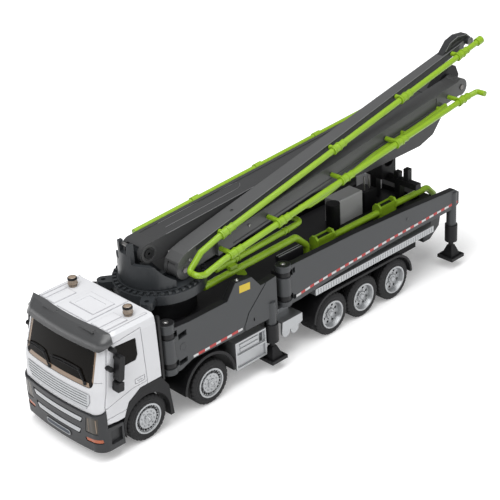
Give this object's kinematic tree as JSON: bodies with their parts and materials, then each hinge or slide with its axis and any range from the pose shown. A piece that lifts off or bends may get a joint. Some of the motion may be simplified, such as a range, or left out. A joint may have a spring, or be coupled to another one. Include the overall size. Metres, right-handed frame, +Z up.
{
  "type": "die-cast model of a truck-mounted concrete pump",
  "caption": "Die-cast model of a five-axle truck with a slewing, folding concrete boom and swing-out outriggers.",
  "frame": {"origin": "middle of the model's length and width, on the floor under the tyres", "axes": "+X forward over the cab, +Y to the truck's left, +Z up"},
  "size_m": [0.3025, 0.072, 0.1329],
  "materials": {
    "tyre": "fine moulded rubber",
    "rim_silver": "bright silver wheel",
    "cab_white": "smooth white paint",
    "panel_grey": "satin dark grey paint",
    "boom_grey": "satin grey paint",
    "frame_black": "matt black moulding",
    "trim_dark": "dark grey moulding",
    "lime_green": "semi-gloss lime green",
    "pin_silver": "bright pins",
    "glass_smoke": "smoked brown glass",
    "lamp_orange": "orange lens",
    "lamp_clear": "clear faceted lens over a silver bowl",
    "dome_smoke": "smoky clear dome",
    "seat_tan": "tan moulding"
  },
  "bodies": {
    "chassis": {"chassis_frame": "frame_black", "deck": "frame_black", "slew_pedestal": "frame_black", "slew_ring": "panel_grey", "cab_shell": "cab_white", "windscreen": "glass_smoke", "door_glass": "glass_smoke", "cab_floor": "frame_black", "seats": "seat_tan", "bumper": "trim_dark", "front_fenders": "frame_black", "second_fenders": "frame_black", "rear_fenders": "frame_black", "side_strips": "rim_silver", "toolboxes": "rim_silver", "boom_rest": "frame_black", "deck_lockers": "panel_grey", "control_box": "frame_black", "deck_pipe": "lime_green", "riser_pipe": "lime_green", "hopper": "panel_grey", "hinge_lugs": "frame_black", "hinge_pins": "pin_silver", "sun_visor": "trim_dark", "mirrors": "frame_black", "beacons": "dome_smoke", "headlamps": "lamp_clear", "indicators": "lamp_orange", "grille": "rim_silver", "side_brackets": "rim_silver"},
    "axle_1": {"tyres_1": "tyre", "rims_1": "rim_silver"},
    "axle_2": {"tyres_2": "tyre", "rims_2": "rim_silver"},
    "axle_3": {"tyres_3": "tyre", "rims_3": "rim_silver"},
    "axle_4": {"tyres_4": "tyre", "rims_4": "rim_silver"},
    "axle_5": {"tyres_5": "tyre", "rims_5": "rim_silver"},
    "turret": {"turret": "panel_grey"},
    "boom_1": {"boom_1_beam": "boom_grey", "boom_1_pin": "frame_black", "boom_1_bracket": "frame_black", "boom_1_pipe": "lime_green", "rear_fold_pin": "pin_silver"},
    "boom_2": {"boom_2_beam": "boom_grey", "boom_2_pipe": "lime_green"},
    "boom_3": {"boom_3_beam": "boom_grey", "front_fold_pin": "pin_silver", "boom_3_pipe": "lime_green", "boom_tip": "frame_black"},
    "front_arm_left": {"front_arm_left": "panel_grey"},
    "rear_beam_left": {"rear_beam_left": "panel_grey"},
    "front_jack_left": {"front_jack_left": "frame_black"},
    "rear_jack_left": {"rear_jack_left": "frame_black"},
    "front_arm_right": {"front_arm_right": "panel_grey"},
    "rear_beam_right": {"rear_beam_right": "panel_grey"},
    "front_jack_right": {"front_jack_right": "frame_black"},
    "rear_jack_right": {"rear_jack_right": "frame_black"}
  },
  "joints": [
    {"name": "axle_1_spin", "type": "hinge", "parent": "chassis", "child": "axle_1", "pos_m": [0.11923, 0, 0.0123], "axis": [0, 1, 0], "continuous": true},
    {"name": "axle_2_spin", "type": "hinge", "parent": "chassis", "child": "axle_2", "pos_m": [0.07743, 0, 0.0123], "axis": [0, 1, 0], "continuous": true},
    {"name": "axle_3_spin", "type": "hinge", "parent": "chassis", "child": "axle_3", "pos_m": [-0.01247, 0, 0.0123], "axis": [0, 1, 0], "continuous": true},
    {"name": "axle_4_spin", "type": "hinge", "parent": "chassis", "child": "axle_4", "pos_m": [-0.03757, 0, 0.0123], "axis": [0, 1, 0], "continuous": true},
    {"name": "axle_5_spin", "type": "hinge", "parent": "chassis", "child": "axle_5", "pos_m": [-0.06367, 0, 0.0123], "axis": [0, 1, 0], "continuous": true},
    {"name": "slew", "type": "hinge", "parent": "chassis", "child": "turret", "pos_m": [0.08023, 0, 0.0672], "axis": [0, 0, 1], "continuous": true},
    {"name": "boom_1_lift", "type": "hinge", "parent": "turret", "child": "boom_1", "pos_m": [0.09033, -0.00125, 0.0833], "axis": [0, 1, 0], "range_deg": [0, 75]},
    {"name": "boom_2_fold", "type": "hinge", "parent": "boom_1", "child": "boom_2", "pos_m": [-0.13827, 0.012, 0.1026], "axis": [0, -1, 0], "range_deg": [0, 165]},
    {"name": "boom_3_fold", "type": "hinge", "parent": "boom_2", "child": "boom_3", "pos_m": [0.07743, 0.012, 0.0726], "axis": [0, 1, 0], "range_deg": [0, 100]},
    {"name": "front_arm_left_swing", "type": "hinge", "parent": "chassis", "child": "front_arm_left", "pos_m": [0.10123, 0.0282, 0.0435], "axis": [0, 0, -1], "range_deg": [0, 75]},
    {"name": "rear_beam_left_swing", "type": "hinge", "parent": "chassis", "child": "rear_beam_left", "pos_m": [0.02123, 0.0282, 0.0448], "axis": [0, 0, -1], "range_deg": [0, 75]},
    {"name": "front_jack_left_slide", "type": "slide", "parent": "front_arm_left", "child": "front_jack_left", "axis": [0, 0, -1], "range_m": [-0.002, 0.005]},
    {"name": "rear_jack_left_slide", "type": "slide", "parent": "rear_beam_left", "child": "rear_jack_left", "axis": [0, 0, -1], "range_m": [-0.002, 0.005]},
    {"name": "front_arm_right_swing", "type": "hinge", "parent": "chassis", "child": "front_arm_right", "pos_m": [0.10123, -0.0282, 0.0435], "axis": [0, 0, 1], "range_deg": [0, 75]},
    {"name": "rear_beam_right_swing", "type": "hinge", "parent": "chassis", "child": "rear_beam_right", "pos_m": [0.02123, -0.0282, 0.0448], "axis": [0, 0, 1], "range_deg": [0, 75]},
    {"name": "front_jack_right_slide", "type": "slide", "parent": "front_arm_right", "child": "front_jack_right", "axis": [0, 0, -1], "range_m": [-0.002, 0.005]},
    {"name": "rear_jack_right_slide", "type": "slide", "parent": "rear_beam_right", "child": "rear_jack_right", "axis": [0, 0, -1], "range_m": [-0.002, 0.005]}
  ]
}
